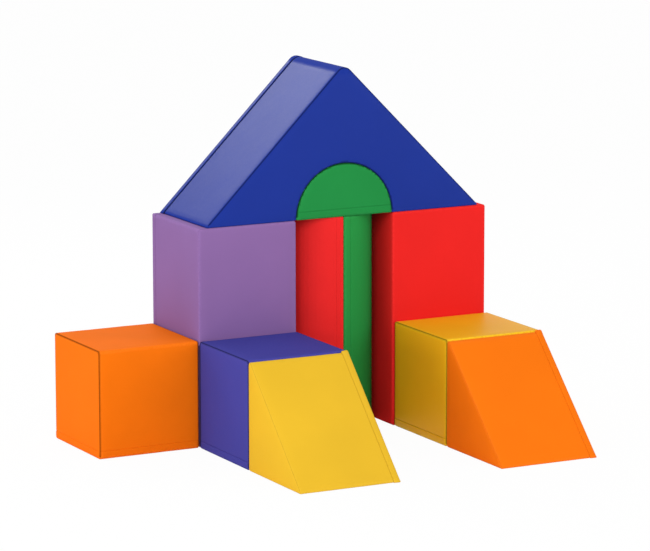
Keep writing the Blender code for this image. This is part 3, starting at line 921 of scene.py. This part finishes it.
def addStops(name, spot, material):
    length = spot["end"] - spot["start"]
    depth = (teethForm["stopTop"] + teethForm["bottom"]) / 2
    size = (teethForm["stopLength"], teethForm["stopWidth"], teethForm["bottom"] - teethForm["stopTop"])
    bm = bmesh.new()
    for middle in (size[0] / 2, length - size[0] / 2):
        addBlock(bm, size, (middle, 0, -depth), teethForm["stopBevel"], 3)
    bm.transform(spot["matrix"])
    dressZip(meshPiece(name + "_zip_stops", bm, [material]), name)


# Stitches: the two rows that hold the zip, and a few across each end of it
stitchForm = {"pitch": 0.004, "length": 0.0031, "thick": 0.0006, "rise": 0.0002, "sunk": 0.00008,
              "endRow": 0.0035}
threadLook = {"plies": 900, "turn": 0.6, "low": (0.6, 0.02), "high": (1, 0.06), "depth": 0.0001}


def threadMaterial(name, info):
    material, nodes, links = newMaterial(name + "_thread")
    points = objectPoints(nodes, links, turn=[threadLook["turn"]] * 3)
    wave = addNode(nodes, "ShaderNodeTexWave", wave_type="BANDS", bands_direction="DIAGONAL")
    wave.inputs["Scale"].default_value = threadLook["plies"]
    links.new(points, wave.inputs["Vector"])
    ply = wave.outputs["Fac"]
    dark, pale = (shaded(info["colour"], *threadLook[key]) for key in ("low", "high"))
    finishShader(nodes, links, {
        "Base Color": addMix(nodes, links, ply, dark, pale),
        "Roughness": 0.6,
        "Sheen Weight": 0.3,
        "Normal": addBump(nodes, links, ply, 0.5, threadLook["depth"]),
    })
    return material


def addStitches(name, label, spot, starts, size, direction, length, material):
    bm = bmesh.new()
    for start in starts:
        made = bmesh.ops.create_icosphere(bm, subdivisions=1, radius=0.5)
        bmesh.ops.scale(bm, vec=size, verts=made["verts"])
        bmesh.ops.translate(bm, vec=(*start, -stitchForm["sunk"]), verts=made["verts"])
    bm.transform(spot["matrix"])
    stitches = meshPiece(name + label, bm, [material])
    repeat(stitches, direction * stitchForm["pitch"], int(length / stitchForm["pitch"]))
    dressZip(stitches, name)


def addSeamRows(name, spot, material):
    length = spot["end"] - spot["start"]
    side, half, beyond = zipForm["hemLine"], stitchForm["pitch"] / 2, stitchForm["endRow"]
    high = 2 * stitchForm["rise"]
    lengthwise = (stitchForm["length"], stitchForm["thick"], high)
    crosswise = (stitchForm["thick"], stitchForm["length"], high)
    starts = [(half, -side), (half, side)]
    addStitches(name, "_zip_stitches", spot, starts, lengthwise, spot["run"], length, material)
    ends = [(-beyond, half - side), (length + beyond, half - side)]
    addStitches(name, "_zip_end_stitches", spot, ends, crosswise, spot["across"], 2 * side, material)


# Sliders: cast metal without a pull, moved with a hook
sliderForm = {"nose": 0.0035, "noseWidth": 0.0064, "channel": 0.0051, "plate": 0.0007, "bevel": 0.00025,
              "window": 0.0016, "windowDepth": 0.0002}
metalLook = {"stained": (0.50, 0.50, 0.52, 1), "clean": (0.66, 0.66, 0.67, 1), "brushed": 1500, "stain": 220,
             "depth": 0.00003}


def metalMaterial():
    material, nodes, links = newMaterial("slider_metal")
    points = objectPoints(nodes, links)
    brushed = addNoise(nodes, links, points, metalLook["brushed"], 3, 0.6)
    stain = addNoise(nodes, links, points, metalLook["stain"], 2)
    finishShader(nodes, links, {
        "Base Color": addMix(nodes, links, stain, metalLook["stained"], metalLook["clean"]),
        "Metallic": 1.0,
        "Roughness": addMap(nodes, links, brushed, *noiseSpan, 0.28, 0.45),
        "Normal": addBump(nodes, links, brushed, 0.25, metalLook["depth"]),
    })
    return material


def addSlider(name, spot, material):
    node = name + "_slider"
    first, last = spanAlong(node, spot["run"])
    sideLow, sideHigh = spanAlong(node, spot["across"])
    foot = spanAlong(node, spot["facing"])[0] - spot["surface"]
    side, channel, roof = (sideHigh - sideLow) / 2, sliderForm["channel"] / 2, -sliderForm["plate"]
    outline = [(-side, foot), (-channel, foot), (-channel, roof), (channel, roof), (channel, foot),
               (side, foot), (side, 0), (-side, 0)]
    bm = bmesh.new()
    face = bm.faces.new([bm.verts.new((first - spot["start"], y, z)) for y, z in outline])
    taper = sliderForm["noseWidth"] / (sideHigh - sideLow)
    for step, narrow in ((last - first - sliderForm["nose"], 1), (sliderForm["nose"], taper)):
        grown = bmesh.ops.extrude_face_region(bm, geom=[face])["geom"]
        verts = [g for g in grown if isinstance(g, bmesh.types.BMVert)]
        bmesh.ops.translate(bm, vec=(step, 0, 0), verts=verts)
        outer = [p for p in verts if abs(p.co.y) > channel + onPlane]
        bmesh.ops.scale(bm, vec=(1, narrow, 1), verts=outer)
        face = [g for g in grown if isinstance(g, bmesh.types.BMFace)][0]
    bmesh.ops.recalc_face_normals(bm, faces=bm.faces)
    tops = [f for f in bm.faces if f.normal.z > facesIt and f.calc_center_median().z > -onPlane]
    top = max(tops, key=lambda f: f.calc_area())
    bmesh.ops.inset_region(bm, faces=[top], thickness=sliderForm["window"], use_even_offset=True)
    bmesh.ops.translate(bm, vec=(0, 0, -sliderForm["windowDepth"]), verts=top.verts)
    flush = [e for e in bm.edges if all(abs(p.co.z) < touching for p in e.verts)]
    rim = [e for e in flush if e.calc_face_angle(0) > 1]
    bmesh.ops.bevel(bm, geom=rim, offset=sliderForm["bevel"], segments=2, profile=0.5, affect="EDGES",
                    material=-1)
    bm.transform(spot["matrix"])
    slider = meshPiece(name + "_zip_slider_plate", bm, [material])
    slider.data.set_sharp_from_angle(angle=math.radians(40))
    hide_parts(node)
    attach(slider, name + "_zip_slider")


metal = metalMaterial()
for blockName, blockInfo in blocks.items():
    zipSpot = zipPlace(blockName, blockInfo)
    nylon = nylonMaterial(blockName, blockInfo)
    addTape(blockName, zipSpot, tapeMaterial(blockName, blockInfo))
    addTeeth(blockName, zipSpot, nylon)
    addStops(blockName, zipSpot, nylon)
    addSeamRows(blockName, zipSpot, threadMaterial(blockName, blockInfo))
    addSlider(blockName, zipSpot, metal)
print("zips fitted")


# Floor and light
studio = {
    "worldStrength": 0.726,
    "floorSize": 30.0,
    "floorColour": (0.9, 0.9, 0.9, 1),
    "floorGlow": 0.965,
}
lampAim = (0.087, 0.149, 0.36)
lamps = {
    "key": {"spot": (-2.0, -3.0, 2.6), "aim": lampAim, "size": (1.8, 1.8), "power": 56.0},
    "side": {"spot": (-3.7, -0.5, 0.56), "aim": lampAim, "size": (3.0, 1.1), "power": 27.0},
    "fill": {"spot": (2.2, -3.0, 1.2), "aim": lampAim, "size": (1.6, 1.2), "power": 12.4},
    "rear": {"spot": (0.1, 3.2, 2.65), "aim": (0.1, 0.3, 0.9), "size": (2.4, 1.1), "power": 38.0},
}


def seenDirectly(nodes, links):
    path = addNode(nodes, "ShaderNodeLightPath")
    camera, glossy, through = (path.outputs["Is " + kind + " Ray"]
                               for kind in ("Camera", "Glossy", "Transmission"))
    return addMath(nodes, links, "MAXIMUM", camera, addMath(nodes, links, "MAXIMUM", glossy, through))


def addFloor():
    bm = bmesh.new()
    bmesh.ops.create_grid(bm, x_segments=1, y_segments=1, size=studio["floorSize"] / 2)
    material, nodes, links = newMaterial("studio_floor")
    diffuse = addNode(nodes, "ShaderNodeBsdfDiffuse")
    diffuse.inputs["Color"].default_value = studio["floorColour"]
    glow = addNode(nodes, "ShaderNodeEmission")
    mix = addNode(nodes, "ShaderNodeMixShader")
    share = addMath(nodes, links, "MULTIPLY", seenDirectly(nodes, links), studio["floorGlow"])
    links.new(share, mix.inputs[0])
    links.new(diffuse.outputs[0], mix.inputs[1])
    links.new(glow.outputs[0], mix.inputs[2])
    output = addNode(nodes, "ShaderNodeOutputMaterial")
    links.new(mix.outputs[0], output.inputs["Surface"])
    meshPiece("studio_floor", bm, [material])


def addWorld():
    world = bpy.data.worlds.new("studio")
    world.use_nodes = True
    nodes, links = world.node_tree.nodes, world.node_tree.links
    nodes.clear()
    seen = seenDirectly(nodes, links)
    light = addNode(nodes, "ShaderNodeBackground")
    light.inputs["Strength"].default_value = studio["worldStrength"]
    backdrop = addNode(nodes, "ShaderNodeBackground")
    for background in (light, backdrop):
        background.inputs["Color"].default_value = (1, 1, 1, 1)
    mix = addNode(nodes, "ShaderNodeMixShader")
    links.new(seen, mix.inputs[0])
    links.new(light.outputs[0], mix.inputs[1])
    links.new(backdrop.outputs[0], mix.inputs[2])
    output = addNode(nodes, "ShaderNodeOutputWorld")
    links.new(mix.outputs[0], output.inputs["Surface"])
    bpy.context.scene.world = world


def addLamp(name, spot, aim, size, power):
    data = bpy.data.lights.new(name, "AREA")
    data.shape = "RECTANGLE"
    data.size, data.size_y = size
    data.energy = power
    lamp = bpy.data.objects.new(name, data)
    bpy.context.scene.collection.objects.link(lamp)
    lamp.location = spot
    lamp.rotation_euler = (Vector(aim) - lamp.location).to_track_quat("-Z", "Y").to_euler()


addFloor()
addWorld()
for lampName, lampInfo in lamps.items():
    addLamp(lampName, **lampInfo)
bpy.context.scene.view_settings.view_transform = "Standard"
print("studio lit")
